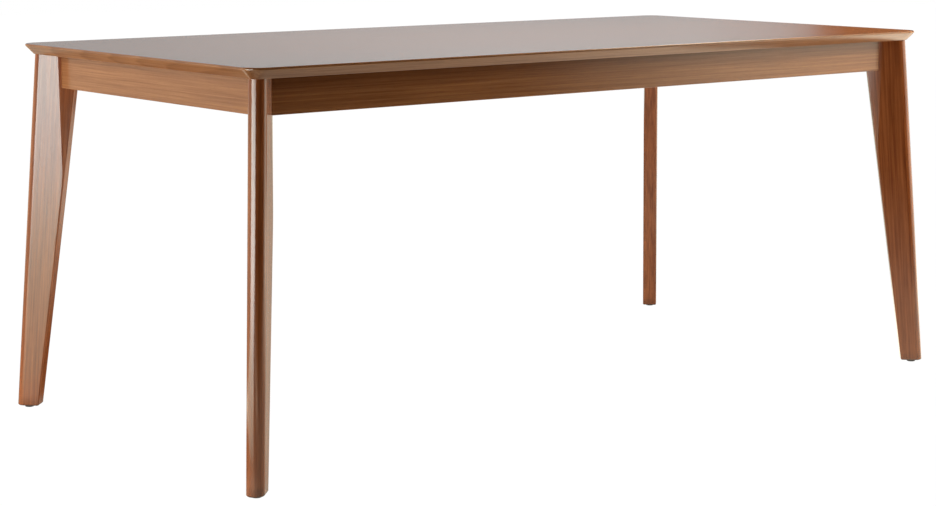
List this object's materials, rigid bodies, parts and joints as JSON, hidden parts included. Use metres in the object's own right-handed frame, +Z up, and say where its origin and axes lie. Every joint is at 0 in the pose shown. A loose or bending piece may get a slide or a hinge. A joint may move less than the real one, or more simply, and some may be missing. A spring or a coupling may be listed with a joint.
{
  "type": "dining table",
  "caption": "Rectangular dining table: under-bevelled top with rounded corners, inset aprons and splayed, tapered plank legs set on the diagonal.",
  "frame": {"origin": "on the floor under the middle of the table", "axes": "+X along the table's length to the right end, +Y across it to the back, +Z up"},
  "size_m": [1.8342, 0.9162, 0.764],
  "materials": {
    "face_veneer": "reddish brown stained walnut-like veneer, satin lacquer",
    "backing_veneer": "plain brown backing veneer, matt lacquer",
    "core_board": "pressed fibre board, raw",
    "lipping": "reddish brown stained solid wood, satin lacquer",
    "apron": "reddish brown stained solid wood, satin lacquer",
    "leg": "reddish brown stained solid wood, satin lacquer",
    "block_wood": "pale hardwood, sanded, matt sealer",
    "dowel_wood": "beech dowel, raw",
    "glide_plastic": "dark brown nylon",
    "nail_steel": "bright steel",
    "bolt_steel": "zinc plated",
    "screw_steel": "yellow zinc plated",
    "clip_steel": "zinc plated"
  },
  "bodies": {
    "root": {"top_face_veneer": "face_veneer", "top_backing_veneer": "backing_veneer", "top_core": "core_board", "lipping_front": "lipping", "lipping_right": "lipping", "lipping_back": "lipping", "lipping_left": "lipping", "apron_front": "apron", "apron_right": "apron", "apron_back": "apron", "apron_left": "apron", "leg_front_left": "leg", "leg_front_right": "leg", "leg_back_left": "leg", "leg_back_right": "leg", "corner_block_front_left": "block_wood", "corner_block_front_right": "block_wood", "corner_block_back_left": "block_wood", "corner_block_back_right": "block_wood", "cross_rail": "block_wood", "cross_rail_dowels": "dowel_wood", "glide_front_left": "glide_plastic", "glide_front_right": "glide_plastic", "glide_back_left": "glide_plastic", "glide_back_right": "glide_plastic", "glide_nails": "nail_steel", "hanger_bolts": "bolt_steel", "hanger_nuts": "bolt_steel", "hanger_washers": "bolt_steel", "corner_block_screws": "screw_steel", "top_clip_screws": "screw_steel", "top_clips": "clip_steel"}
  },
  "joints": []
}
